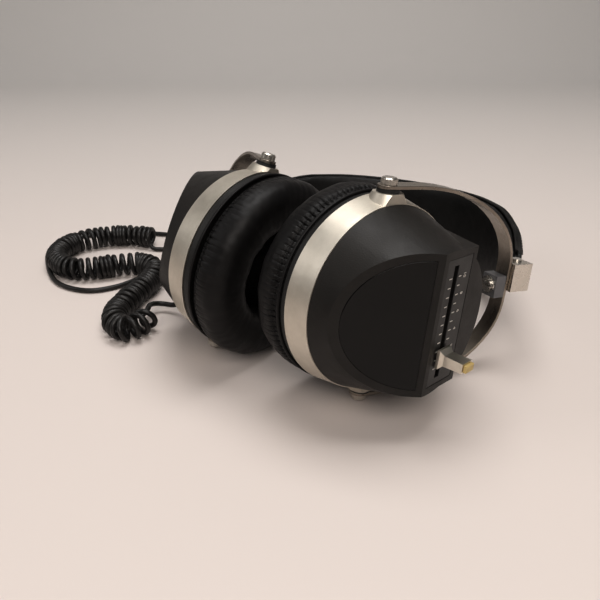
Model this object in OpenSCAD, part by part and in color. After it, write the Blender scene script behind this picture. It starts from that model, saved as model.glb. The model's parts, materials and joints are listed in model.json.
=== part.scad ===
// Wired stereo headphones with a volume slider on each cup, lying folded with the coiled cord beside them.
// Every side is drawn as the right one; the left one is its mirror image.
// X outward, Y to the headband, Z along the pivots.

/* [Pose] */
// where the middle of the line between the fold hinges lies
band_at = [0.31, 5.54, 42.19];
// how the headband lies, its lower edge on the table
band_turn = [-9.16, -0.3, -30.86];
// right cup folded in by
fold_right = 33.6; // [0:0.1:60]
// left cup folded in by
fold_left = 45.5; // [0:0.1:75]
// right yoke turned about its bracket screw by
swivel_right = 2; // [-15:0.1:15]
// left yoke turned about its bracket screw by
swivel_left = 13.2; // [-15:0.1:15]
// right cup turned in its yoke by
tilt_right = 12.3; // [0:0.1:90]
// left cup turned in its yoke by
tilt_left = 52.3; // [0:0.1:90]
// volume sliders, from the middle of their slots
slider_at = -15; // [-22:1:22]

/* [Headband] */
// half the outer width of the arch
band_half_w = 95.7; // [90:0.1:110]
// height of the arch above its springing
band_rise = 127.5; // [110:0.5:150]
// width of the padded band at the top of the arch
band_w = 50; // [35:1:60]
// padded thickness at the top of the arch
band_thick = 13; // [9:0.5:18]
// thickness at the two ends
band_end_thick = 8.2; // [7:0.1:10]
// steel slide strap, thick, wide and long
strap = [1.2, 9.6, 35];

/* [Bracket and yoke] */
// fold hinges lie this far to each side
hinge_x = 92.4; // [85:0.1:100]
// and this far up the band
hinge_y = 4; // [0:0.5:10]
// from the cup's pivot line to the fold hinge
reach = 82.5; // [78:0.5:90]
// hinges lie this far above the bracket screws
hinge_up = 4; // [0:0.5:8]
// yoke strip, thick and wide
yoke_strip = [1.5, 8.5];
// pivot line to the middle of the yoke's end strips
yoke_half = 49; // [48:0.5:55]
// from the pivot line to the middle of the yoke's bridge
yoke_reach = 74.5; // [70:0.5:80]

/* [Cup] */
// trim band radius at the cushion
ring_r = 45; // [40:0.5:50]
// trim band radius at the housing
ring_outer_r = 42.8; // [38:0.1:48]
// trim band width
ring_w = 12; // [8:1:16]
// housing height above the trim band
housing_h = 33; // [25:1:40]
// housing radius at its foot and at its top
housing_r = [42.4, 31.5];
// wall of the housing
wall = 2.2; // [1.6:0.1:3]
// ear cushion, inner and outer radius
pad_r = [22, 46];
// ear cushion depth
pad_h = 20; // [16:0.5:26]
// slot the volume slider runs in, long and wide
slot = [50, 3.2];

/* [Cord] */
// wire diameter
wire_d = 3; // [2.5:0.1:4]
// outer diameter of the curls
curl_d = 15; // [12:0.5:18]

/* [Hidden] */
SIDE_NODES = ["strap", "strap_pocket", "fold_clevis", "fold_pin", "bracket_block", "bracket_screw", "yoke",
    "pivot_screws", "pivot_washers", "trim_ring", "housing", "outer_panel", "slider_panel", "scale_marks",
    "slider_lever", "lever_insert", "slider_body", "baffle", "driver_frame", "driver_cone", "driver_magnet",
    "damping_felt", "ear_cloth", "ear_cushion"];

R = 1;
L = -1;
lean = 15;
springing = -17.5;
band_end = [93.2, 11.5];
seat = ring_w / 2;
top = seat + housing_h;
ridge = [39.1, -4];
far_edge = [35.1, 20.8];
slab_half = 30.9;
slider_face_turn = 9.2;
outer_face_turn = -34.2;
slot_y = -2.5;
face_mid = [37.1, 8.4, 0];
pin_r = 1.5;
screw_r = 2;
shank_r = 1.5;
chrome = [0.8, 0.8, 0.82];
black = [0.08, 0.08, 0.09];

// ---- places ----
module at_band() {
    translate(band_at) rotate(band_turn) children();
}

module at_side(s) {
    at_band() mirror([s == L ? 1 : 0, 0, 0]) children();
}

module at_strap(s) {
    at_side(s) translate([hinge_x, hinge_y, 0]) rotate([0, 0, lean]) children();
}

module at_bracket(s) {
    at_side(s) translate([hinge_x, hinge_y, 0]) rotate([0, 0, s == R ? -fold_right : -fold_left])
        translate([0, -reach, 0]) children();
}

module at_yoke(s) {
    at_bracket(s) rotate([0, s == R ? swivel_right : -swivel_left, 0]) children();
}

module at_cup(s) {
    at_yoke(s) rotate([0, 0, s == R ? tilt_right : tilt_left]) children();
}

module at_slider_face(s) {
    at_cup(s) on_slider_face() children();
}

module on_slider_face() {
    translate(face_mid) rotate([0, 0, slider_face_turn]) children();
}

// a round body along X from x0 to x1
module rod_x(x0, x1, r0, r1) {
    translate([x0, 0, 0]) rotate([0, 90, 0]) cylinder(h = x1 - x0, r1 = r0, r2 = r1, $fn = 96);
}

// a round body along Y
module rod_y(y0, y1, r) {
    translate([0, y0, 0]) rotate([-90, 0, 0]) cylinder(h = y1 - y0, r = r, $fn = 48);
}

// a profile of [radius, x] points turned about X
module turned_x(points) {
    rotate([0, 90, 0]) rotate_extrude($fn = 96) polygon(points);
}

// ---- headband ----
function thick_at(t) = band_end_thick + (band_thick - band_end_thick) * sin(t);
function arch_point(t, f) = [(band_half_w - f * thick_at(t)) * cos(t),
    springing + (band_rise - f * thick_at(t)) * sin(t)];
function end_point(side, f) = [side * (band_end[0] - f * band_end_thick * cos(lean)),
    band_end[1] - f * band_end_thick * sin(lean)];
function arch_line(f, from) = [for (t = [from : 6.1 : 181 - from]) arch_point(t, f)];
function full_line(f) = concat([end_point(1, f)], arch_line(f, 17), [end_point(-1, f)]);
function backwards(p) = [for (i = [len(p) - 1 : -1 : 0]) p[i]];

module band_outline(points) {
    rotate([90, 0, 90]) translate([0, 0, -120]) linear_extrude(240) polygon(points);
}

module band_layer(line0, line1, outline) {
    at_band() intersection() {
        translate([0, 0, -40]) linear_extrude(80) polygon(concat(line0, backwards(line1)));
        band_outline(outline);
    }
}

half_w = band_w / 2;
BAND_EDGE = [[0, -4], [24, -6], [47, -13], [74, -22], [94, -half_w], [150, -half_w], [150, half_w],
    [94, half_w], [74, 24], [47, 19], [24, 13.5], [0, 12]];
SPRING_EDGE = [[31, -1], [55, -8], [78, -12], [150, -12], [150, 12], [78, 12], [55, 12], [31, 9]];

module band_cover() {
    color(black) difference() {
        band_layer(full_line(0), full_line(0.27), BAND_EDGE);
        for (s = [R, L]) at_strap(s) pocket_box(0.15);
    }
}

module band_spring() {
    color(chrome) band_layer(arch_line(0.3, 29), arch_line(0.38, 29), SPRING_EDGE);
}

module band_pad() {
    color(black) difference() {
        band_layer(full_line(0.42), full_line(1), BAND_EDGE);
        for (s = [R, L]) at_strap(s) pocket_box(0.15);
    }
}

// ---- slide strap and its pocket ----
pocket_y = 7.8;
pocket_len = 30;

module pocket_box(grow) {
    translate([-2.1 - grow, pocket_y - 1, hinge_up - 7 - grow])
        cube([4.2 + 2 * grow, pocket_len + 1 + grow, 14 + 2 * grow]);
}

module strap_pocket(s) {
    color([0.25, 0.25, 0.27]) at_strap(s) difference() {
        intersection() {
            pocket_box(0);
            translate([-5, pocket_y, -20]) cube([10, 60, 50]);
        }
        translate([-0.75, 0, hinge_up - 5]) cube([1.5, pocket_y + pocket_len - 2, 10]);
    }
}

module strap(s) {
    color(chrome) at_strap(s) difference() {
        union() {
            translate([0, 0, hinge_up - strap[1] / 2]) cylinder(h = strap[1], r = 4.1, $fn = 48);
            translate([-strap[0] / 2, 0, hinge_up - strap[1] / 2]) cube([strap[0], strap[2], strap[1]]);
        }
        translate([0, 0, hinge_up - 10]) cylinder(h = 20, r = pin_r + 0.06, $fn = 48);
    }
}

// ---- bracket: chromed clevis, hinge pin, grey block and its screw ----
module fold_clevis(s) {
    color(chrome) at_bracket(s) difference() {
        translate([0, 0, hinge_up]) difference() {
            translate([-5, yoke_reach + 0.95, -7]) cube([11.5, 11.5, 14]);
            translate([-10, yoke_reach + 3.5, -5]) cube([15.2, 20, 10]);
        }
        translate([0, reach, -20]) cylinder(h = 50, r = pin_r, $fn = 48);
        rod_y(60, 79, screw_r);
    }
}

module fold_pin(s) {
    color(chrome) at_bracket(s) translate([0, reach, hinge_up - 7.6]) {
        cylinder(h = 15.2, r = pin_r, $fn = 48);
        translate([0, 0, -0.5]) cylinder(h = 1, r = 2.4, $fn = 48);
        translate([0, 0, 14.7]) cylinder(h = 1, r = 2.4, $fn = 48);
    }
}

module bracket_block(s) {
    color([0.55, 0.58, 0.62]) at_bracket(s) difference() {
        translate([-4.75, yoke_reach - 7.4, -6]) cube([9.5, 6.1, 11]);
        rod_y(60, 79, screw_r);
    }
}

module bracket_screw(s) {
    color(chrome) at_bracket(s) difference() {
        union() {
            rod_y(yoke_reach - 8, yoke_reach + 3.4, screw_r);
            rod_y(yoke_reach - 8.4, yoke_reach - 7.4, 4.25);
            rod_y(yoke_reach - 9.6, yoke_reach - 8, 3.1);
        }
        translate([-4, yoke_reach - 10, -0.4]) cube([8, 1.2, 0.8]);
    }
}

// ---- yoke ----
yoke_flat = 9;
yoke_straight = 14;
function yoke_point(t, d) = [yoke_straight + (yoke_reach - yoke_straight + d) * sin(t),
    yoke_flat + (yoke_half - yoke_flat + d) * cos(t)];
function yoke_side(d) = concat([[-10, yoke_half + d]], [for (t = [0 : 6 : 90]) yoke_point(t, d)]);
function flipped(p) = [for (i = [len(p) - 1 : -1 : 0]) [p[i][0], -p[i][1]]];
function yoke_line(d) = concat(yoke_side(d), flipped(yoke_side(d)));

module yoke(s) {
    half_t = yoke_strip[0] / 2;
    half_b = yoke_strip[1] / 2;
    color([0.2, 0.2, 0.22]) at_yoke(s) difference() {
        intersection() {
            translate([-half_b, 0, 0]) rotate([90, 0, 90]) linear_extrude(yoke_strip[1])
                polygon(concat(yoke_line(half_t), backwards(yoke_line(-half_t))));
            translate([0, 0, -60]) union() {
                translate([-20, -0.75, 0]) cube([40, 100, 120]);
                translate([0, -0.75, 0]) cylinder(h = 120, r = half_b, $fn = 64);
            }
        }
        for (g = [-1, 1]) translate([0, 0, g * yoke_half - 3]) cylinder(h = 6, r = shank_r + 0.08, $fn = 48);
        rod_y(60, 90, screw_r + 0.08);
    }
}

// ---- pivots ----
module both_ends() {
    for (g = [0, 1]) mirror([0, 0, g]) children();
}

module pivot_screws(s) {
    color(chrome) at_cup(s) both_ends() {
        translate([0, 0, 42.6]) cylinder(h = 7.6, r = shank_r, $fn = 48);
        difference() {
            translate([0, 0, 49.85]) rotate_extrude($fn = 64)
                polygon([[0, 0], [3.6, 0], [3.6, 2.3], [2.9, 3], [0, 3]]);
            for (a = [0 : 20 : 340]) rotate([0, 0, a]) translate([3.8, 0, 49])
                cylinder(h = 5, r = 0.4, $fn = 16);
        }
    }
}

module pivot_washers(s) {
    color(black) at_cup(s) both_ends() translate([0, 0, 46.62]) difference() {
        cylinder(h = 1.56, r = 5, $fn = 64);
        translate([0, 0, -1]) cylinder(h = 4, r = shank_r + 0.04, $fn = 48);
    }
}

// ---- cup ----
module trim_ring(s) {
    color([0.78, 0.79, 0.8]) at_cup(s) difference() {
        union() {
            turned_x([[ring_r - 1.2, -seat], [ring_r, -seat], [ring_outer_r, seat], [ring_outer_r - 1.2, seat]]);
            both_ends() intersection() {
                translate([0, 0, 40]) cylinder(h = 6.6, r1 = 10, r2 = 6.6, $fn = 64);
                translate([-5.9, -12, 38]) cube([11.8, 24, 12]);
            }
        }
        rod_x(-10, 10, 42.05, 42.05);
        translate([0, 0, -60]) cylinder(h = 120, r = shank_r + 0.04, $fn = 48);
    }
}

module frustum(inset) {
    rod_x(seat, top + 0.1, housing_r[0] - inset, housing_r[1] - inset);
}

module below_slider_face(inset) {
    on_slider_face() translate([-120 - inset, -100, -60]) cube([120, 200, 120]);
}

module below_outer_face(inset) {
    translate([ridge[0], ridge[1], 0]) rotate([0, 0, outer_face_turn])
        translate([-120 - inset, -100, -60]) cube([120, 200, 120]);
}

module housing_body(inset) {
    intersection() {
        union() {
            frustum(inset);
            translate([0, 0, -slab_half + inset]) linear_extrude(2 * (slab_half - inset))
                polygon([[seat, ridge[1]], [top + 6, ridge[1]], [far_edge[0] + 0.6, far_edge[1] - inset],
                    [seat, far_edge[1] + 8 - inset]]);
        }
        below_slider_face(inset);
        below_outer_face(inset);
    }
}

// the flat on the outer face of the cup, less a margin
module outer_flat(margin, low, high) {
    intersection() {
        frustum(margin);
        translate([ridge[0], ridge[1], 0]) rotate([0, 0, outer_face_turn])
            translate([low, -70 - margin, -60]) cube([high - low, 70, 120]);
    }
}

module housing(s) {
    color(black) at_cup(s) difference() {
        union() {
            housing_body(0);
            rod_x(-3, seat, 41.4, 41.4);
        }
        housing_body(wall);
        rod_x(-4, seat + 0.2, 41.4 - wall, 41.4 - wall);
        outer_flat(2.9, -0.85, 3);
        on_slider_face() {
            translate([-0.95, -9.75, -28.25]) cube([4, 19.5, 56.5]);
            translate([-8, slot_y - slot[1] / 2 - 0.4, -slot[0] / 2 - 0.5])
                cube([10, slot[1] + 0.8, slot[0] + 1]);
        }
        if (s == L) gland_line() translate([0, 0, -6]) cylinder(h = 20, r = 3.45, $fn = 48);
    }
}

module outer_panel(s) {
    color([0.03, 0.03, 0.03]) at_cup(s) outer_flat(3.05, -0.83, 0.1);
}

module slider_panel(s) {
    color([0.05, 0.05, 0.05]) at_slider_face(s) difference() {
        translate([-0.93, -9.65, -28.15]) cube([0.85, 19.3, 56.3]);
        translate([-3, slot_y - slot[1] / 2, -slot[0] / 2]) cube([5, slot[1], slot[0]]);
    }
}

module scale_marks(s) {
    color([0.8, 0.8, 0.8]) at_slider_face(s)
        for (z = [-20 : 4 : 20], side = [-1, 1])
            translate([-0.06, slot_y + side * 3.6 - 1, z - 0.2]) cube([0.12, 2, 0.4]);
}

// ---- volume slider ----
module at_lever(s) {
    at_slider_face(s) translate([0, slot_y, slider_at]) children();
}

module slider_lever(s) {
    color([0.7, 0.7, 0.7]) at_lever(s) {
        translate([-8.6, -3.6, -3.6]) cube([3, 7.2, 7.2]);
        translate([-5.7, -1.2, -2.2]) cube([6.8, 2.4, 4.4]);
        hull() {
            translate([0.6, -4.4, -4.2]) cube([1.2, 8.8, 8.4]);
            translate([3.4, -3.4, -2.4]) cube([0.1, 6.8, 4.8]);
        }
        hull() {
            translate([3.4, -3.4, -2.4]) cube([0.1, 6.8, 4.8]);
            translate([12.3, -3.7, -2.1]) cube([0.1, 7.4, 4.2]);
        }
    }
}

module lever_insert(s) {
    color([0.8, 0.72, 0.45]) at_lever(s) translate([12.45, -3.1, -1.6]) cube([1.6, 6.2, 3.2]);
}

module slider_body(s) {
    color([0.5, 0.5, 0.52]) at_slider_face(s) translate([0, slot_y, 0]) difference() {
        translate([-11, -5.6, -27.4]) cube([8.4, 11.2, 54.8]);
        translate([-9.4, -4.4, -26.4]) cube([8, 8.8, 52.8]);
    }
}

// ---- inside the cup ----
module baffle(s) {
    color(black) at_cup(s) difference() {
        turned_x([[0, -9.4], [44.2, -9.4], [44.5, -9.1], [44.5, -6.2], [38.9, -6.2], [38.9, 0], [37.4, 0],
            [37.4, -7.6], [31, -7.6], [31, -5.6], [29, -5.6], [29, -7.6], [0, -7.6]]);
        for (i = [-3 : 3], j = [-3 : 3]) if (abs(i + j) < 4)
            translate([0, (i + j / 2) * 6.4, j * 5.54]) rod_x(-12, -5, 1.7, 1.7);
    }
}

module driver_frame(s) {
    color([0.6, 0.6, 0.62]) at_cup(s)
        turned_x([[23, -7.5], [28.6, -7.5], [28.6, -6], [26.5, -6], [16, 4.4], [16, 5.9], [12, 5.9], [12, 3.4],
            [23, -6.6]]);
}

module driver_cone(s) {
    color([0.2, 0.2, 0.2]) at_cup(s)
        turned_x([[0, -3], [8, -4.4], [22.6, -7.4], [22.6, -7], [9, -2.6], [9, 2], [8.4, 2], [8.4, -2.4],
            [0, -2.2]]);
}

module driver_magnet(s) {
    color([0.35, 0.35, 0.37]) at_cup(s) difference() {
        rod_x(6, 16, 16, 16);
        rod_x(5, 12, 9.2, 9.2);
        rod_x(5, 20, 1.2, 1.2);
    }
}

module damping_felt(s) {
    color([0.75, 0.7, 0.6]) at_cup(s) rod_x(16.1, 18.6, 22, 22);
}

module ear_cloth(s) {
    color(black) at_cup(s) rod_x(-10.6, -9.5, pad_r[0] - 0.5, pad_r[0] - 0.5);
}

// rounded ring profile, fuller than a circle
pad_mid = (pad_r[0] + pad_r[1]) / 2;
pad_half = (pad_r[1] - pad_r[0]) / 2;
function fuller(v) = sign(v) * pow(abs(v), 2 / 2.6);

module ear_cushion(s) {
    color(black) at_cup(s) turned_x([for (a = [0 : 15 : 345])
        [pad_mid + pad_half * fuller(cos(a)), -9.8 - pad_h / 2 + pad_h / 2 * fuller(sin(a))]]);
}

// ---- cord ----
function lerp3(p, i, u) = let (a = p[max(i - 1, 0)], b = p[i], c = p[i + 1], d = p[min(i + 2, len(p) - 1)])
    0.5 * (2 * b + (c - a) * u + (2 * a - 5 * b + 4 * c - d) * u * u + (3 * b - a - 3 * c + d) * u * u * u);
function smooth(p, n) = concat([for (i = [0 : len(p) - 2], k = [0 : n - 1]) lerp3(p, i, k / n)], [p[len(p) - 1]]);
function unit(v) = v / norm(v);
function along(p, i) = unit(p[min(i + 1, len(p) - 1)] - p[max(i - 1, 0)]);
function ring_at(c, t, r, n) = let (side = unit(cross(t, [0, 0, 1])), up = cross(side, t))
    [for (k = [0 : n - 1]) c + r * (cos(360 * k / n) * up + sin(360 * k / n) * side)];

module tube(p, r, n) {
    count = len(p);
    polyhedron([for (i = [0 : count - 1]) each ring_at(p[i], along(p, i), r, n)],
        concat([[for (k = [0 : n - 1]) k]], [[for (k = [n - 1 : -1 : 0]) (count - 1) * n + k]],
            [for (i = [0 : count - 2], k = [0 : n - 1])
                [i * n + k, (i + 1) * n + k, (i + 1) * n + (k + 1) % n, i * n + (k + 1) % n]]));
}

LEAD = [[-87.7, -3.3, 13], [-93.3, 0.3, 9.2], [-99.3, 4.1, 5.6], [-105.3, 7.2, 4.8], [-110.6, 6.8, 6.2],
    [-112.7, 2.6, 7.4], [-112.3, -2.4, 7.5]];
CURLS = [[-112.3, -2.4, 7.5], [-111.8, -10.4, 7.5], [-112.3, -19.4, 7.5], [-119.3, -26.4, 7.5],
    [-127.3, -19.4, 7.5], [-129.3, -7.4, 7.5], [-126.3, 6.6, 7.5], [-122.3, 19.6, 7.5],
    [-118.3, 33.6, 7.5], [-118.3, 47.6, 7.5], [-128.3, 57.6, 7.5], [-142.3, 56.6, 7.5],
    [-156.3, 51.6, 7.5], [-170.3, 49.6, 7.5], [-182.3, 57.6, 7.5], [-189.3, 71.6, 7.5],
    [-187.3, 87.6, 7.5], [-176.3, 99.6, 7.5], [-162.3, 105.6, 7.5], [-146.3, 106.6, 7.5],
    [-131.3, 102.6, 7.5]];
TAIL = [[-131.3, 102.6, 7.5], [-123.3, 99.6, 5], [-114.3, 100.6, 2], [-108.3, 108.6, 1.6],
    [-114.3, 118.6, 1.6], [-134.3, 124.6, 1.6], [-164.3, 125.6, 1.6], [-188.3, 117.6, 1.6],
    [-202.3, 97.6, 1.6], [-197.3, 72.6, 1.6], [-181.3, 42.6, 1.6], [-159.3, 30.6, 1.6],
    [-140.3, 36.6, 1.6], [-124.3, 53.6, 1.6], [-109.3, 65.6, 1.6], [-94.3, 67.6, 1.6], [-82.3, 64.2, 2],
    [-71.3, 60.2, 4.5], [-61.3, 56.6, 6]];

// where the cord leaves the left cup, pointing out
module gland_line() {
    translate([25, 8, -35.2]) rotate([0, 126, 7]) children();
}

module cord_gland() {
    color(black) at_cup(L) gland_line() {
        translate([0, 0, -4]) cylinder(h = 7, r = 3.4, $fn = 48);
        translate([0, 0, 3]) cylinder(h = 7, r1 = 3, r2 = 2, $fn = 48);
    }
}

module cord_lead() {
    color(black) tube(smooth(LEAD, 2), wire_d / 2, 8);
}

module cord_curls() {
    color(black) tube(smooth(CURLS, 1), curl_d / 2, 12);
}

module cord_tail() {
    color(black) tube(smooth(TAIL, 2), wire_d / 2, 8);
}

// ---- plug ----
module at_plug(along) {
    translate([-61.3, 56.6, 6]) rotate([0, 90, -20]) translate([0, 0, along]) children();
}

module plug_body() {
    color(black) {
        at_plug(0) cylinder(h = 8, r1 = 3, r2 = 4.6, $fn = 48);
        at_plug(8) cylinder(h = 24, r = 6, $fn = 48);
    }
}

module plug_pin() {
    color(chrome) at_plug(32) {
        cylinder(h = 1.5, r = 4.4, $fn = 48);
        translate([0, 0, 1.5]) cylinder(h = 24, r = 3.175, $fn = 48);
        translate([0, 0, 25.5]) cylinder(h = 2, r1 = 3.175, r2 = 2.2, $fn = 48);
        translate([0, 0, 27.5]) cylinder(h = 1.5, r1 = 2.2, r2 = 3, $fn = 48);
        translate([0, 0, 29]) cylinder(h = 2.5, r1 = 3, r2 = 1, $fn = 48);
    }
}

module right_strap() {
    strap(R);
}

module right_strap_pocket() {
    strap_pocket(R);
}

module right_fold_clevis() {
    fold_clevis(R);
}

module right_fold_pin() {
    fold_pin(R);
}

module right_bracket_block() {
    bracket_block(R);
}

module right_bracket_screw() {
    bracket_screw(R);
}

module right_yoke() {
    yoke(R);
}

module right_pivot_screws() {
    pivot_screws(R);
}

module right_pivot_washers() {
    pivot_washers(R);
}

module right_trim_ring() {
    trim_ring(R);
}

module right_housing() {
    housing(R);
}

module right_outer_panel() {
    outer_panel(R);
}

module right_slider_panel() {
    slider_panel(R);
}

module right_scale_marks() {
    scale_marks(R);
}

module right_slider_lever() {
    slider_lever(R);
}

module right_lever_insert() {
    lever_insert(R);
}

module right_slider_body() {
    slider_body(R);
}

module right_baffle() {
    baffle(R);
}

module right_driver_frame() {
    driver_frame(R);
}

module right_driver_cone() {
    driver_cone(R);
}

module right_driver_magnet() {
    driver_magnet(R);
}

module right_damping_felt() {
    damping_felt(R);
}

module right_ear_cloth() {
    ear_cloth(R);
}

module right_ear_cushion() {
    ear_cushion(R);
}

module left_strap() {
    strap(L);
}

module left_strap_pocket() {
    strap_pocket(L);
}

module left_fold_clevis() {
    fold_clevis(L);
}

module left_fold_pin() {
    fold_pin(L);
}

module left_bracket_block() {
    bracket_block(L);
}

module left_bracket_screw() {
    bracket_screw(L);
}

module left_yoke() {
    yoke(L);
}

module left_pivot_screws() {
    pivot_screws(L);
}

module left_pivot_washers() {
    pivot_washers(L);
}

module left_trim_ring() {
    trim_ring(L);
}

module left_housing() {
    housing(L);
}

module left_outer_panel() {
    outer_panel(L);
}

module left_slider_panel() {
    slider_panel(L);
}

module left_scale_marks() {
    scale_marks(L);
}

module left_slider_lever() {
    slider_lever(L);
}

module left_lever_insert() {
    lever_insert(L);
}

module left_slider_body() {
    slider_body(L);
}

module left_baffle() {
    baffle(L);
}

module left_driver_frame() {
    driver_frame(L);
}

module left_driver_cone() {
    driver_cone(L);
}

module left_driver_magnet() {
    driver_magnet(L);
}

module left_damping_felt() {
    damping_felt(L);
}

module left_ear_cloth() {
    ear_cloth(L);
}

module left_ear_cushion() {
    ear_cushion(L);
}

band_cover();
band_spring();
band_pad();
right_strap();
right_strap_pocket();
right_fold_clevis();
right_fold_pin();
right_bracket_block();
right_bracket_screw();
right_yoke();
right_pivot_screws();
right_pivot_washers();
right_trim_ring();
right_housing();
right_outer_panel();
right_slider_panel();
right_scale_marks();
right_slider_lever();
right_lever_insert();
right_slider_body();
right_baffle();
right_driver_frame();
right_driver_cone();
right_driver_magnet();
right_damping_felt();
right_ear_cloth();
right_ear_cushion();
left_strap();
left_strap_pocket();
left_fold_clevis();
left_fold_pin();
left_bracket_block();
left_bracket_screw();
left_yoke();
left_pivot_screws();
left_pivot_washers();
left_trim_ring();
left_housing();
left_outer_panel();
left_slider_panel();
left_scale_marks();
left_slider_lever();
left_lever_insert();
left_slider_body();
left_baffle();
left_driver_frame();
left_driver_cone();
left_driver_magnet();
left_damping_felt();
left_ear_cloth();
left_ear_cushion();
cord_gland();
cord_lead();
cord_curls();
cord_tail();
plug_body();
plug_pin();
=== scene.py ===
"""Looks of the folded stereo headphones: everything in metres, in the frame's own axes."""

import json
import math

import bmesh
import bpy
from mathutils import Matrix, Vector, noise


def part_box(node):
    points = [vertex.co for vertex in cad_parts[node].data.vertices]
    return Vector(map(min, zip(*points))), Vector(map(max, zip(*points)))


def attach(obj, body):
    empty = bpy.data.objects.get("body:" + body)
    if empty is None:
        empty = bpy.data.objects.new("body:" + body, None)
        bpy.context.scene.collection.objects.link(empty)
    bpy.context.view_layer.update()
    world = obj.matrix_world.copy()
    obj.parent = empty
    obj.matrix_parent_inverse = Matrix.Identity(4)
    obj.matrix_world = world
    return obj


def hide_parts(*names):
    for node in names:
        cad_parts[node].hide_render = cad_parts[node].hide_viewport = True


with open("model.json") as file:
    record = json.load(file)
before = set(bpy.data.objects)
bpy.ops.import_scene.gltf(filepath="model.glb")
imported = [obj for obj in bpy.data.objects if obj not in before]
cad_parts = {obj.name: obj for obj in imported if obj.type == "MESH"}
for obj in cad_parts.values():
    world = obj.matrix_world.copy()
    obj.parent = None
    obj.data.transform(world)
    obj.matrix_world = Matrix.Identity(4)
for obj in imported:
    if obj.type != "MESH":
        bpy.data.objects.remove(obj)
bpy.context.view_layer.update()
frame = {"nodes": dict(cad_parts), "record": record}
MM = 0.001
SIDES = ("right", "left")
RECORD = frame["record"]
BODY_OF = {node: body for body, nodes in RECORD["behaviour"]["bodies"].items() for node in nodes}
SLOT_OF = {part["node"]: part["material_slot"] for part in RECORD["subparts"]}
JOINTS = {joint["name"]: joint for joint in RECORD["behaviour"]["joints"]}


# ---- camera ----
def add_camera():
    data = bpy.data.cameras.new("camera")
    data.lens = 38.8
    data.sensor_width = 36
    camera = bpy.data.objects.new("camera", data)
    bpy.context.collection.objects.link(camera)
    camera.location = (-0.0250, -0.3294, 0.1862)
    camera.rotation_euler = (math.radians(62), 0, 0)
    bpy.context.scene.camera = camera


add_camera()


# ---- frames of the cups and the headband, from the joints ----
def axis_of(joint):
    return Vector(JOINTS[joint]["axis"]).normalized()


def middle(node):
    low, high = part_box(node)
    return (Vector(low) + Vector(high)) / 2


def matrix(x, y, z, origin):
    columns = Matrix((x, y, z)).transposed().to_4x4()
    columns.translation = origin
    return columns


def cup_frame(side):
    """X outward, Y to the headband side, Z along the pivots, origin at the pivots' middle."""
    origin = Vector(JOINTS[f"{side}_tilt"]["pos_m"])
    out = (origin - middle(f"{side}_ear_cushion")).normalized()
    up = axis_of(f"{side}_tilt")
    across = up.cross(out) * (1 if side == "right" else -1)
    return matrix(out, across, up, origin)


def band_frame():
    """X to the right end, Y to the top of the arch, origin on the line between the fold hinges."""
    right, left = (Vector(JOINTS[f"{side}_fold"]["pos_m"]) for side in SIDES)
    x = (right - left).normalized()
    z = axis_of("right_fold")
    y = z.cross(x)
    return matrix(x, y, z, (right + left) / 2 - y * HINGE_Y * MM)


HINGE_Y = 4
CUP = {side: cup_frame(side) for side in SIDES}
BAND = band_frame()


# ---- making pieces ----
def add_object(name, data, body):
    piece = bpy.data.objects.new(name, data)
    bpy.context.collection.objects.link(piece)
    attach(piece, body)
    return piece


def tidy_mesh(mesh, sharp=math.radians(35)):
    work = bmesh.new()
    work.from_mesh(mesh)
    bmesh.ops.recalc_face_normals(work, faces=work.faces)
    for face in work.faces:
        face.smooth = True
    for edge in work.edges:
        edge.smooth = not (edge.is_manifold and edge.calc_face_angle(0) > sharp)
    work.to_mesh(mesh)
    work.free()


def mesh_piece(name, points, faces, body, place=None):
    """Points in millimetres in the frame `place`."""
    mesh = bpy.data.meshes.new(name)
    place = place or Matrix.Identity(4)
    mesh.from_pydata([place @ (Vector(p) * MM) for p in points], [], faces)
    tidy_mesh(mesh)
    return add_object(name, mesh, body)


def softened(node, width, angle=30, segments=2):
    """The node's own shape with its edges rounded off, standing for it."""
    mesh = frame["nodes"][node].data.copy()
    work = bmesh.new()
    work.from_mesh(mesh)
    bmesh.ops.remove_doubles(work, verts=work.verts, dist=1e-6)
    bmesh.ops.dissolve_limit(work, angle_limit=math.radians(1.5), verts=work.verts, edges=work.edges)
    limit = math.radians(angle)
    edges = [e for e in work.edges if e.is_manifold and e.calc_face_angle(0) > limit]
    bmesh.ops.bevel(work, geom=edges, offset=width * MM, offset_type="OFFSET", segments=segments,
                    profile=0.5, affect="EDGES", clamp_overlap=True)
    work.to_mesh(mesh)
    work.free()
    tidy_mesh(mesh, math.radians(50))
    piece = add_object(f"{node}_finished", mesh, BODY_OF[node])
    normals = piece.modifiers.new("normals", "WEIGHTED_NORMAL")
    normals.keep_sharp = True
    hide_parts(node)
    return piece


def tube_mesh(name, points, radius, body, closed=False, resolution=4):
    """A round strand through points in metres."""
    curve = bpy.data.curves.new(name, "CURVE")
    curve.dimensions = "3D"
    curve.bevel_depth = radius
    curve.bevel_resolution = resolution
    curve.use_fill_caps = not closed
    spline = curve.splines.new("POLY")
    spline.points.add(len(points) - 1)
    for target, point in zip(spline.points, points):
        target.co = (*point, 1)
    spline.use_cyclic_u = closed
    spline.use_smooth = True
    strand = bpy.data.objects.new(name, curve)
    mesh = bpy.data.meshes.new_from_object(strand)
    bpy.data.objects.remove(strand)
    bpy.data.curves.remove(curve)
    return add_object(name, mesh, body)


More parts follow.
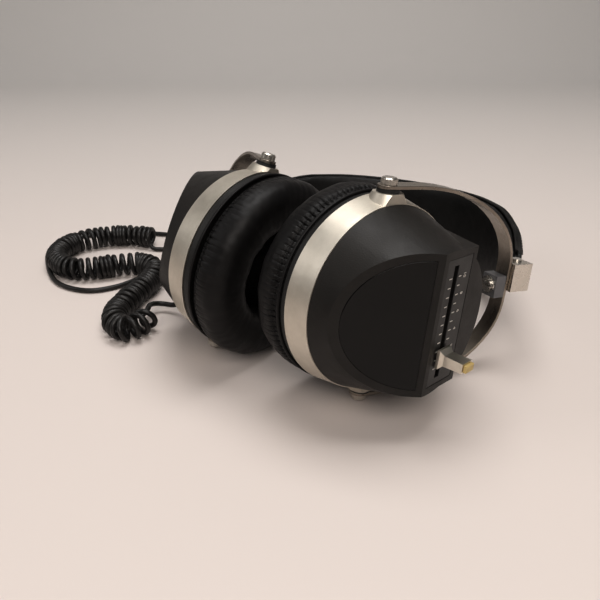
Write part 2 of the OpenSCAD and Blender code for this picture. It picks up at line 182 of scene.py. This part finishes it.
# ---- cord, in millimetres ----
WIRE_D = 3
CURL_D = 15
CURL_TURNS = 75
WIDEN, WIND = 73, 117      # points over which the helix opens, and over which it winds up
SLACKEN = 36               # points over which it grows even towards the tail
POINTS_PER_TURN = 18
LEAD = [(-87.7, -3.3, 13), (-93.3, 0.3, 9.2), (-99.3, 4.1, 5.6), (-105.5, 6.6, 5),
        (-110, 5.1, 6), (-112.1, 1, 7.2), (-112.3, -2.4, 7.5)]
CURLS = [(-112.3, -2.4, 7.5), (-111.8, -10.4, 7.5), (-112.3, -19.4, 7.5), (-119.3, -26.4, 7.5),
         (-127.3, -19.4, 7.5), (-129.3, -7.4, 7.5), (-126.3, 6.6, 7.5), (-122.3, 19.6, 7.5),
         (-118.3, 33.6, 7.5), (-118.3, 47.6, 7.5), (-128.3, 57.6, 7.5), (-142.3, 56.6, 7.5),
         (-156.3, 51.6, 7.5), (-170.3, 49.6, 7.5), (-182.3, 57.6, 7.5), (-189.3, 71.6, 7.5),
         (-187.3, 87.6, 7.5), (-176.3, 99.6, 7.5), (-162.3, 105.6, 7.5), (-146.3, 106.6, 7.5),
         (-131.3, 102.6, 7.5)]
TAIL = [(-132.1, 96.6, 4.5), (-130, 96, 2.3), (-127.1, 95.2, 1.6), (-120.5, 95.5, 1.6),
        (-113, 99, 1.6), (-108.3, 108.6, 1.6), (-114.3, 118.6, 1.6),
        (-134.3, 124.6, 1.6), (-164.3, 125.6, 1.6), (-188.3, 117.6, 1.6), (-202.3, 97.6, 1.6),
        (-197.3, 72.6, 1.6), (-181.3, 42.6, 1.6), (-159.3, 30.6, 1.6), (-140.3, 36.6, 1.6),
        (-124.3, 53.6, 1.6), (-109.3, 65.6, 1.6), (-94.3, 67.6, 1.6), (-82.3, 64.2, 2),
        (-71.3, 60.2, 4.5), (-61.3, 56.6, 6)]


def smooth_route(points, steps):
    """A Catmull-Rom line through the points."""
    points = [Vector(p) for p in points]
    line = []
    for i in range(len(points) - 1):
        a, b = points[max(i - 1, 0)], points[i]
        c, d = points[i + 1], points[min(i + 2, len(points) - 1)]
        for k in range(steps):
            u = k / steps
            line.append(0.5 * (2 * b + (c - a) * u + (2 * a - 5 * b + 4 * c - d) * u ** 2
                               + (3 * b - a - 3 * c + d) * u ** 3))
    return line + [points[-1]]


def evenly(line, count):
    """The line as count + 1 points at equal distances."""
    lengths = [0]
    for a, b in zip(line, line[1:]):
        lengths.append(lengths[-1] + (b - a).length)
    result, i = [], 0
    for k in range(count + 1):
        want = lengths[-1] * k / count
        while i < len(line) - 2 and lengths[i + 1] < want:
            i += 1
        share = (want - lengths[i]) / max(lengths[i + 1] - lengths[i], 1e-9)
        result.append(line[i].lerp(line[i + 1], min(share, 1)))
    return result


def eased(share):
    share = min(1, max(0, share))
    return share * share * (3 - 2 * share)


def curls():
    """The helix round the curls' route. It opens from the line at its start, and the wire leaves it
    downward at its end."""
    count = CURL_TURNS * POINTS_PER_TURN
    axis = evenly(smooth_route(CURLS, 12), count)
    mean = (CURL_D - WIRE_D) / 2
    points, turn = [], math.pi / 2
    for k in reversed(range(1, count + 1)):
        along = (axis[min(k + 3, count)] - axis[k - 3 if k > 3 else 0]).normalized()
        side = along.cross(Vector((0, 0, 1))).normalized()
        up = side.cross(along)
        loose = min(1, (count - k) / SLACKEN, k / WIND)
        wobble = loose * (0.12 * noise.noise(Vector((turn * 0.13, 3.1, 0))) - 0.03)
        radius = mean * eased(k / WIDEN) * (1 + wobble)
        lean = loose * 4.5 * noise.noise(Vector((turn * 0.05, 0, 7.7)))
        points.append(axis[k] + radius * (math.cos(turn) * up + math.sin(turn) * side) + lean * along)
        turn -= 2 * math.pi / POINTS_PER_TURN * eased(k / WIND) ** 2
    return points[::-1]


def add_cord():
    points = [p * MM for p in smooth_route(LEAD, 6) + curls() + smooth_route(TAIL, 6)]
    cord = tube_mesh("curly_cord", points, WIRE_D / 2 * MM, BODY_OF["cord_curls"])
    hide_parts("cord_lead", "cord_curls", "cord_tail")
    return cord, points


cord, cord_path = add_cord()


# ---- materials ----
class Shader:
    """A principled material with a few shorthand node builders."""

    def __init__(self, name, rough=0.5, metal=0.0, specular=0.5):
        self.material = bpy.data.materials.new(name)
        self.material.use_nodes = True
        self.tree = self.material.node_tree
        self.shader = self.tree.nodes["Principled BSDF"]
        self.shader.inputs["Metallic"].default_value = metal
        self.shader.inputs["Roughness"].default_value = rough
        self.shader.inputs["Specular IOR Level"].default_value = specular
        self.place = self.tree.nodes.new("ShaderNodeTexCoord").outputs["Object"]
        self.normal = None

    def node(self, kind, inputs=(), **settings):
        made = self.tree.nodes.new(kind)
        for key, value in settings.items():
            setattr(made, key, value)
        for key, value in dict(inputs).items():
            if isinstance(value, bpy.types.NodeSocket):
                self.tree.links.new(value, made.inputs[key])
            else:
                made.inputs[key].default_value = value
        return made

    def noise(self, scale, detail=4, rough=0.6, place=None):
        inputs = {"Vector": place or self.place, "Scale": scale, "Detail": detail, "Roughness": rough}
        return self.node("ShaderNodeTexNoise", inputs).outputs["Fac"]

    def cells(self, scale, feature="DISTANCE_TO_EDGE"):
        made = self.node("ShaderNodeTexVoronoi", {"Vector": self.place, "Scale": scale}, feature=feature)
        return made.outputs["Distance"]

    def ranged(self, value, low, high, start=0.3, end=0.7):
        inputs = {"Value": value, "From Min": start, "From Max": end, "To Min": low, "To Max": high}
        return self.node("ShaderNodeMapRange", inputs).outputs["Result"]

    def brushed(self, axis, fine=9000, long=60):
        """Noise that changes fast along `axis` and slowly across it."""
        across = self.node("ShaderNodeVectorMath", {0: self.place, 1: axis}, operation="DOT_PRODUCT")
        fast = self.node("ShaderNodeMath", {0: across.outputs["Value"], 1: float(fine)},
                         operation="MULTIPLY")
        slow = self.node("ShaderNodeVectorMath", {0: self.place, "Scale": float(long)}, operation="SCALE")
        lines = self.node("ShaderNodeCombineXYZ", {"X": fast.outputs["Value"]})
        both = self.node("ShaderNodeVectorMath", {0: lines.outputs["Vector"], 1: slow.outputs["Vector"]},
                         operation="ADD")
        return self.noise(1.0, 3, 0.6, both.outputs["Vector"])

    def colour(self, value, dark, light, start=0.3, end=0.7):
        share = self.ranged(value, 0.0, 1.0, start, end)
        mix = self.node("ShaderNodeMix", {"Factor": share}, data_type="RGBA")
        mix.inputs[6].default_value = (*dark, 1)
        mix.inputs[7].default_value = (*light, 1)
        self.tree.links.new(mix.outputs[2], self.shader.inputs["Base Color"])

    def roughness(self, value, low, high, start=0.3, end=0.7):
        self.tree.links.new(self.ranged(value, low, high, start, end), self.shader.inputs["Roughness"])

    def bump(self, value, depth, strength=1.0):
        inputs = {"Height": value, "Distance": depth, "Strength": strength}
        made = self.node("ShaderNodeBump", inputs)
        if self.normal:
            self.tree.links.new(self.normal, made.inputs["Normal"])
        self.normal = made.outputs["Normal"]
        self.tree.links.new(self.normal, self.shader.inputs["Normal"])


def vinyl(name, dark, light, grain=1500, depth=0.00008, rough=(0.42, 0.56)):
    """Soft black vinyl with a leather grain and faint creases."""
    made = Shader(name, specular=0.32)
    mottle = made.noise(60, 5)
    made.colour(mottle, dark, light)
    made.roughness(made.noise(220, 4), *rough)
    made.bump(made.noise(95, 3), 0.00035, 0.3)
    made.bump(made.cells(grain), depth, 0.35)
    made.bump(made.noise(grain * 2, 3), depth / 2, 0.25)
    return made.material


def moulded(name, dark, light, rough, grain=2600, depth=0.00005, strength=0.6, specular=0.5):
    """Moulded plastic with an even fine grain."""
    made = Shader(name, specular=specular)
    made.colour(made.noise(40, 5), dark, light)
    made.roughness(made.noise(90, 5), *rough)
    made.bump(made.noise(grain, 2), depth, strength)
    made.bump(made.noise(25, 2), 0.0003, 0.05)
    return made.material


def metal(name, dark, light, rough, axis=None, fine=9000):
    """Metal, brushed so that its lines cross `axis`, or just handled, with a few pits and dull patches."""
    made = Shader(name, metal=1.0)
    smudge = made.noise(55, 5)
    made.colour(made.noise(45, 8, 0.7), dark, light)
    if axis:
        lines = made.brushed(axis, fine)
        smudge = made.node("ShaderNodeMath", {0: lines, 1: smudge}, operation="ADD").outputs["Value"]
        made.bump(lines, 0.00003, 0.4)
    made.roughness(smudge, *rough, *((0.75, 1.25) if axis else (0.35, 0.65)))
    made.bump(made.noise(30, 2), 0.0002, 0.06)
    return made.material


def cloth(name, dark, light, scale=2600):
    """Fine woven or felted cloth."""
    made = Shader(name, specular=0.25)
    weave = [made.node("ShaderNodeTexWave", {"Vector": made.place, "Scale": scale / 8, "Distortion": 0.6},
                       bands_direction=way).outputs["Fac"] for way in ("X", "Z")]
    both = made.node("ShaderNodeMath", {0: weave[0], 1: weave[1]}, operation="MULTIPLY").outputs["Value"]
    made.colour(both, dark, light, 0.1, 0.8)
    made.roughness(made.noise(300, 4), 0.75, 0.95)
    made.bump(both, 0.0001, 0.6)
    made.bump(made.noise(scale, 4), 0.00008, 0.5)
    return made.material


def rubbery(name, dark, light, rough=(0.34, 0.5)):
    made = Shader(name, specular=0.5)
    made.colour(made.noise(70, 5), dark, light)
    made.roughness(made.noise(160, 5), *rough)
    made.bump(made.noise(1900, 3), 0.00003, 0.4)
    return made.material


STEEL = ((0.27, 0.235, 0.20), (0.40, 0.36, 0.315))
BRIGHT = ((0.66, 0.64, 0.60), (0.80, 0.78, 0.74))
SATIN_ALUMINIUM = ((0.55, 0.515, 0.45), (0.69, 0.65, 0.58))


def cup_axis(side):
    return tuple(CUP[side].to_3x3().col[0])


def yoke_axis(side):
    """Across the yoke's strip: square to its pivots and to the bracket screw."""
    return tuple(axis_of(f"{side}_tilt").cross(axis_of(f"{side}_swivel")).normalized())


MATERIAL = {
    "cushion_vinyl": vinyl("cushion_vinyl", (0.0035, 0.003, 0.003), (0.007, 0.006, 0.006)),
    "band_vinyl": vinyl("band_vinyl", (0.004, 0.0038, 0.0035), (0.008, 0.0075, 0.007), 1900, 0.00008,
                        (0.4, 0.54)),
    "pad_vinyl": vinyl("pad_vinyl", (0.0035, 0.0033, 0.003), (0.007, 0.0065, 0.006), 1300, 0.0001),
    "housing_black": moulded("housing_black", (0.0135, 0.012, 0.0108), (0.021, 0.0188, 0.0168),
                             (0.42, 0.54), 1500, 0.0001, 0.7, 0.34),
    "gloss_panel": moulded("gloss_panel", (0.0015, 0.0013, 0.0012), (0.003, 0.0026, 0.0023),
                           (0.12, 0.24), 900, 0.000006, 0.3, 0.36),
    "scale_panel": moulded("scale_panel", (0.008, 0.0078, 0.0075), (0.014, 0.0135, 0.013), (0.34, 0.46)),
    "scale_white": moulded("scale_white", (0.52, 0.5, 0.46), (0.68, 0.66, 0.61), (0.45, 0.6)),
    "lever_insert": moulded("lever_insert", (0.42, 0.31, 0.12), (0.6, 0.47, 0.22), (0.3, 0.45), 1200,
                            0.00003),
    "pocket": moulded("pocket", (0.01, 0.01, 0.01), (0.02, 0.02, 0.019), (0.45, 0.6)),
    "washer": moulded("washer", (0.012, 0.012, 0.012), (0.02, 0.02, 0.02), (0.4, 0.55)),
    "baffle": moulded("baffle", (0.008, 0.008, 0.008), (0.014, 0.013, 0.012), (0.42, 0.56)),
    "plug_body": moulded("plug_body", (0.008, 0.008, 0.008), (0.014, 0.013, 0.013), (0.2, 0.34)),
    "chrome": metal("chrome", (0.62, 0.58, 0.52), (0.76, 0.72, 0.66), (0.22, 0.36)),
    "lever_metal": metal("lever_metal", (0.62, 0.58, 0.50), (0.76, 0.72, 0.64), (0.3, 0.44)),
    "strap_steel": metal("strap_steel", *STEEL, (0.26, 0.42)),
    "pin_steel": metal("pin_steel", *BRIGHT, (0.2, 0.34)),
    "screw_steel": metal("screw_steel", *BRIGHT, (0.14, 0.28)),
    "knob_steel": metal("knob_steel", (0.48, 0.45, 0.41), (0.64, 0.61, 0.56), (0.24, 0.4)),
    "slider_can": metal("slider_can", *STEEL, (0.3, 0.45)),
    "band_steel": metal("band_steel", *STEEL, (0.3, 0.45)),
    "plug_metal": metal("plug_metal", *BRIGHT, (0.1, 0.2)),
    "driver_frame": metal("driver_frame", (0.3, 0.3, 0.3), (0.4, 0.4, 0.4), (0.4, 0.55)),
    "driver_magnet": metal("driver_magnet", (0.16, 0.16, 0.16), (0.24, 0.23, 0.22), (0.4, 0.6)),
    "bracket_grey": moulded("bracket_grey", (0.11, 0.11, 0.115), (0.16, 0.16, 0.165), (0.26, 0.4), 1600,
                            0.00002),
    "driver_cone": cloth("driver_cone", (0.03, 0.03, 0.03), (0.06, 0.055, 0.05)),
    "felt": cloth("felt", (0.4, 0.37, 0.3), (0.55, 0.51, 0.42)),
    "ear_cloth": cloth("ear_cloth", (0.003, 0.003, 0.003), (0.009, 0.008, 0.008)),
    "gland": rubbery("gland", (0.010, 0.010, 0.010), (0.018, 0.017, 0.016)),
    "cord_wire": rubbery("cord_wire", (0.009, 0.008, 0.0075), (0.016, 0.0145, 0.0135), (0.32, 0.46)),
}
for side in SIDES:
    MATERIAL[f"trim_aluminium_{side}"] = metal(f"trim_aluminium_{side}", *SATIN_ALUMINIUM, (0.42, 0.56),
                                               cup_axis(side))
    MATERIAL[f"yoke_steel_{side}"] = metal(f"yoke_steel_{side}", *STEEL, (0.24, 0.4), yoke_axis(side))


def material_for(slot, name):
    side = "left" if name.startswith("left") else "right"
    return MATERIAL.get(slot) or MATERIAL[f"{slot}_{side}"]


def paint(piece, slot):
    piece.data.materials.clear()
    piece.data.materials.append(material_for(slot, piece.name))


for node, piece in frame["nodes"].items():
    for slot in piece.material_slots:
        slot.material = material_for(SLOT_OF[node], node)
paint(cord, "cord_wire")

# ---- hard pieces with their edges rounded ----
SOFT_EDGES = {"housing": 0.9, "yoke": 0.22, "fold_clevis": 0.45, "bracket_block": 0.6, "trim_ring": 0.18,
              "slider_lever": 0.35, "lever_insert": 0.3, "outer_panel": 0.25, "slider_panel": 0.2,
              "strap": 0.2}
for side in SIDES:
    for part, width in SOFT_EDGES.items():
        piece = softened(f"{side}_{part}", width, segments=3 if part == "housing" else 2)
        paint(piece, SLOT_OF[f"{side}_{part}"])


# ---- ear cushions ----
PAD_IN, PAD_OUT = 22, 46
PAD_BACK, PAD_DEPTH = -9.8, 20
PUCKERS = 104


def fuller(value):
    return math.copysign(abs(value) ** (2 / 2.6), value)


SEAM_X, SEAM_DEPTH = -14.6, 0.75


def cushion(side):
    """A stuffed vinyl ring, gathered into a sewn seam just in front of the trim band."""
    around, over = 8 * PUCKERS, 96
    seed = 3.0 if side == "right" else 11.0
    half = (PAD_OUT - PAD_IN) / 2
    points = []
    for i in range(around):
        turn = 2 * math.pi * i / around
        spot = Vector((math.cos(turn), math.sin(turn), seed))
        phase = turn * PUCKERS + 2.2 * noise.noise(spot * 5)
        strength = 0.7 + 0.6 * noise.noise(spot * 9)
        for k in range(over):
            angle = 2 * math.pi * k / over
            outward, depth = fuller(math.cos(angle)), fuller(math.sin(angle))
            x = PAD_BACK - PAD_DEPTH / 2 + depth * PAD_DEPTH / 2
            near_seam = math.exp(-abs(x - SEAM_X) / 2.6) if outward > 0.4 else 0
            groove = -SEAM_DEPTH * math.exp(-((x - SEAM_X) / 0.8) ** 2) * (outward > 0.4)
            gather = strength * near_seam * (0.35 - 1.15 * max(0, math.cos(phase)) ** 3)
            crease = 0.55 * noise.noise(Vector((spot.x * 4, spot.y * 4, seed + angle * 0.55)))
            fine = 0.16 * noise.noise(Vector((spot.x * 14, spot.y * 14, seed + angle * 1.6)))
            swell = (crease + fine) * (0.2 if depth > 0.6 else 1)
            radius = (PAD_IN + PAD_OUT) / 2 + outward * (half + swell) + groove + gather
            if depth < 0:
                x -= swell * -depth * 0.8
            points.append((x, radius * math.cos(turn), radius * math.sin(turn)))
    faces = [(i * over + k, i * over + (k + 1) % over, (i + 1) % around * over + (k + 1) % over,
              (i + 1) % around * over + k) for i in range(around) for k in range(over)]
    node = f"{side}_ear_cushion"
    piece = mesh_piece(f"{side}_cushion_cover", points, faces, BODY_OF[node], CUP[side])
    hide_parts(node)
    paint(piece, "cushion_vinyl")


def ring_line(radius, x, count=160):
    turns = [2 * math.pi * i / count for i in range(count)]
    return [Vector((x, radius * math.cos(turn), radius * math.sin(turn))) for turn in turns]


def stitches(name, line, body, slot, place, pitch=3.2, length=2.3, radius=0.32):
    """Short raised stitches along a line of points in millimetres in the frame `place`."""
    total = sum((b - a).length for a, b in zip(line, line[1:]))
    spots = evenly(line, int(total / pitch))
    points, faces = [], []
    for a, b in zip(spots, spots[1:]):
        along = (b - a).normalized()
        side = along.orthogonal().normalized()
        up = along.cross(side)
        base = len(points)
        for u, r in ((-0.5, 0.45), (-0.3, 1), (0.3, 1), (0.5, 0.45)):
            for k in range(6):
                turn = math.pi * k / 3
                out = side * math.cos(turn) + up * math.sin(turn)
                points.append(a + along * u * length + out * radius * r)
        for ring in range(3):
            near, far = base + ring * 6, base + ring * 6 + 6
            faces += [(near + k, near + (k + 1) % 6, far + (k + 1) % 6, far + k) for k in range(6)]
        faces += [tuple(base + k for k in reversed(range(6))), tuple(base + 18 + k for k in range(6))]
    paint(mesh_piece(name, points, faces, body, place), slot)


def cushion_trim(side):
    """The rolled edge at the cushion's back and the thread that sews it."""
    body = BODY_OF[f"{side}_ear_cushion"]
    edge = [CUP[side] @ (p * MM) for p in ring_line(44.9, -10.6)]
    rolled = tube_mesh(f"{side}_cushion_edge", edge, 0.75 * MM, body, closed=True)
    paint(rolled, "cushion_vinyl")
    seam = ring_line(PAD_OUT - SEAM_DEPTH + 0.1, SEAM_X, 240)
    stitches(f"{side}_cushion_thread", seam + seam[:1], body, "cushion_vinyl", CUP[side], 2.0, 1.3, 0.15)


for side in SIDES:
    cushion(side)
    cushion_trim(side)


# ---- headband ----
ARCH_HALF, ARCH_RISE, SPRINGING = 95.7, 127.5, -17.5
ARCH_END = (93.2, 11.5)    # the outside of each end
THICK_TOP, THICK_END = 13, 8.2
LEAN = math.radians(15)
EDGE_Y = [0, 24, 47, 74, 94, 150]
EDGE_LOW = [-4, -6, -13, -22, -25, -25]
EDGE_HIGH = [12, 13.5, 19, 24, 25, 25]
BAND_STEPS = 9


def at_height(y, table):
    for i in range(len(EDGE_Y) - 1):
        if y <= EDGE_Y[i + 1]:
            share = max(0, (y - EDGE_Y[i]) / (EDGE_Y[i + 1] - EDGE_Y[i]))
            share = share * share * (3 - 2 * share) * 0.5 + share * 0.5
            return table[i] + (table[i + 1] - table[i]) * share
    return table[-1]


def arch_line(depth):
    """The line along the arch at `depth` of its thickness, from the right end to the left one."""
    points = []
    for side in (1, -1):
        points.append((side * (ARCH_END[0] - depth * THICK_END * math.cos(LEAN)),
                       ARCH_END[1] - depth * THICK_END * math.sin(LEAN), 0))
    middle_points = []
    for k in range(25):
        t = math.radians(17 + 6.1 * k)
        thick = THICK_END + (THICK_TOP - THICK_END) * math.sin(t)
        middle_points.append(((ARCH_HALF - depth * thick) * math.cos(t),
                              SPRINGING + (ARCH_RISE - depth * thick) * math.sin(t), 0))
    return smooth_route([points[0]] + middle_points + [points[1]], BAND_STEPS)


def band_section(kind, count=40):
    """(across the width from -1 to 1, depth) points round one layer."""
    shallow, deep, power = {"cover": (0.0, 0.31, 5), "pad": (0.36, 1.0, 3.2)}[kind]
    mid, half = (shallow + deep) / 2, (deep - shallow) / 2
    section = []
    for k in range(count):
        angle = 2 * math.pi * (k + 0.5) / count
        across = math.copysign(abs(math.cos(angle)) ** (2 / 7), math.cos(angle))
        depth = math.copysign(abs(math.sin(angle)) ** (2 / power), math.sin(angle))
        section.append((across, mid + half * depth))
    return section


def band_point(lines, step, across, depth):
    """A point of the band `across` its width at a depth of 0 to 1."""
    outer, inner = lines[0][step], lines[1][step]
    spot = outer.lerp(inner, depth)
    low, high = at_height(outer.y, EDGE_LOW), at_height(outer.y, EDGE_HIGH)
    return Vector((spot.x, spot.y, (low + high) / 2 + across * (high - low) / 2))


def band_layer(kind, slot):
    lines = arch_line(0), arch_line(1)
    steps = len(lines[0])
    section = band_section(kind)
    points, faces = [], []
    centre_depth = sum(d for _, d in section) / len(section)
    for i in range(steps):
        from_end = min(i, steps - 1 - i) / 5
        draw_in = 1 if from_end >= 1 else 0.72 + 0.28 * math.sqrt(1 - (1 - from_end) ** 2)
        for k, (across, depth) in enumerate(section):
            side = abs(across)
            puffed = 1.0
            if kind == "pad" and depth > 0.7:
                crown = 0.035 * noise.noise(Vector((i * 0.12, across * 1.6, 2)))
                tuck = 0.06 * noise.noise(Vector((i * 0.55, 0, 5))) * side ** 6
                puffed = 0.94 + crown + tuck
            ripple = 0.97 + 0.012 * noise.noise(Vector((i * 0.5, k * 0.2, 9)))
            across *= draw_in * (0.985 if kind == "cover" else ripple)
            depth = centre_depth + (depth - centre_depth) * draw_in * puffed
            points.append(band_point(lines, i, across, depth))
    size = len(section)
    for i in range(steps - 1):
        here, there = i * size, (i + 1) * size
        faces += [(here + k, there + k, there + (k + 1) % size, here + (k + 1) % size) for k in range(size)]
    faces.append(tuple(range(size)))
    faces.append(tuple((steps - 1) * size + k for k in reversed(range(size))))
    piece = mesh_piece(f"headband_{kind}", points, faces, "headband", BAND)
    smooth = piece.modifiers.new("smooth", "SUBSURF")
    smooth.levels = smooth.render_levels = 1
    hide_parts(f"band_{kind}")
    paint(piece, slot)
    return piece


def add_headband():
    band_layer("cover", "band_vinyl")
    pad = band_layer("pad", "pad_vinyl")
    lines = arch_line(0), arch_line(1)
    span = range(6, len(lines[0]) - 6)
    for number, across in enumerate((-1, 1)):
        stitches(f"headband_stitches_{number}", [band_point(lines, i, across * 0.86, -0.005) for i in span],
                 "headband", "band_vinyl", BAND)
        line = [BAND @ (band_point(lines, i, across * 0.965, 0.33) * MM) for i in span]
        seam = tube_mesh(f"headband_seam_{number}", line, 0.9 * MM, "headband")
        paint(seam, "band_vinyl")


add_headband()


# ---- figures beside the slots, 0 to 10 ----
FACE_MIDDLE = Vector((37.1, 8.4, 0))
FACE_TURN = math.radians(9.2)
SLOT_Y = -2.5


def face_frame(side):
    """The slider face of a cup: X out of the face, Y to the headband side, Z along the slot."""
    local = Matrix.Translation(FACE_MIDDLE * MM) @ Matrix.Rotation(FACE_TURN, 4, "Z")
    return CUP[side] @ local


def add_figures(side):
    """Plain figures that read along the slot, their tops toward the headband side."""
    face = face_frame(side)
    out, across, along = (face.to_3x3().col[i] for i in range(3))
    right = along if (along.cross(across)).dot(out) > 0 else -along
    for number in range(0, 11, 2):
        data = bpy.data.curves.new(f"{side}_figure_{number}", "FONT")
        data.body = str(number)
        data.size = 2.6 * MM
        data.extrude = 0.04 * MM
        data.align_x = "CENTER"
        data.align_y = "CENTER"
        figure = bpy.data.objects.new(data.name, data)
        bpy.context.collection.objects.link(figure)
        place = Matrix((right, across, out)).transposed().to_4x4()
        place.translation = face @ (Vector((0.1, SLOT_Y + 7.3, 4 * number - 20)) * MM)
        figure.matrix_world = place
        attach(figure, BODY_OF[f"{side}_scale_marks"])
        paint(figure, "scale_white")


for side in SIDES:
    add_figures(side)


# ---- floor, backdrop and light ----
def add_stage():
    """A pale sweep that rises behind the headphones, its colour painted darker towards the back as shade.
    """
    profile = [(-1.6, 0), (0.75, 0)]
    for k in range(1, 13):
        turn = math.radians(7.5 * k)
        profile.append((0.75 + 0.35 * math.sin(turn), 0.35 * (1 - math.cos(turn))))
    profile.append((1.1, 1.8))
    points = [(x, y, z - 0.0002) for y, z in profile for x in (-2.2, 2.2)]
    faces = [(2 * i, 2 * i + 1, 2 * i + 3, 2 * i + 2) for i in range(len(profile) - 1)]
    mesh = bpy.data.meshes.new("sweep")
    mesh.from_pydata(points, [], faces)
    for face in mesh.polygons:
        face.use_smooth = True
    floor = bpy.data.objects.new("sweep", mesh)
    bpy.context.collection.objects.link(floor)
    paper = Shader("paper", rough=0.62, specular=0.3)
    falloff_y = paper.node("ShaderNodeSeparateXYZ", {"Vector": paper.place}).outputs["Y"]
    # Painted shade: the paper greys and darkens from the floor under the headphones towards the back and up
    # the sweep, standing in for the light falling off away from the lamps.
    paper.colour(falloff_y, (0.65, 0.595, 0.565), (0.57, 0.55, 0.533), 0.05, 0.8)
    paper.bump(paper.noise(700, 3), 0.0001, 0.12)
    floor.data.materials.append(paper.material)


def add_light(name, place, target, size, power, colour=(1, 0.965, 0.93)):
    data = bpy.data.lights.new(name, "AREA")
    data.shape = "RECTANGLE"
    data.size, data.size_y = size
    data.energy = power
    data.color = colour
    lamp = bpy.data.objects.new(name, data)
    bpy.context.collection.objects.link(lamp)
    lamp.location = place
    lamp.rotation_euler = (Vector(target) - Vector(place)).to_track_quat("-Z", "Y").to_euler()


def add_lights():
    add_light("top", (0.05, 0.12, 1.3), (0, -0.05, 0), (0.95, 0.7), 12.5, (1, 0.985, 0.97))
    add_light("front", (0.1, -1.05, 0.95), (0, -0.3, 0), (1.1, 0.6), 11.5, (1, 0.93, 0.875))
    add_light("left", (-1.2, -0.1, 0.8), (0, 0, 0.05), (0.7, 0.7), 3, (1, 0.97, 0.95))
    world = bpy.data.worlds.new("room")
    world.use_nodes = True
    world.node_tree.nodes["Background"].inputs["Color"].default_value = (0.88, 0.88, 0.88, 1)
    world.node_tree.nodes["Background"].inputs["Strength"].default_value = 0.15
    bpy.context.scene.world = world


add_stage()
add_lights()
bpy.context.scene.view_settings.view_transform = "Standard"
bpy.context.scene.view_settings.gamma = 0.8
bpy.context.scene.view_settings.exposure = 0.04
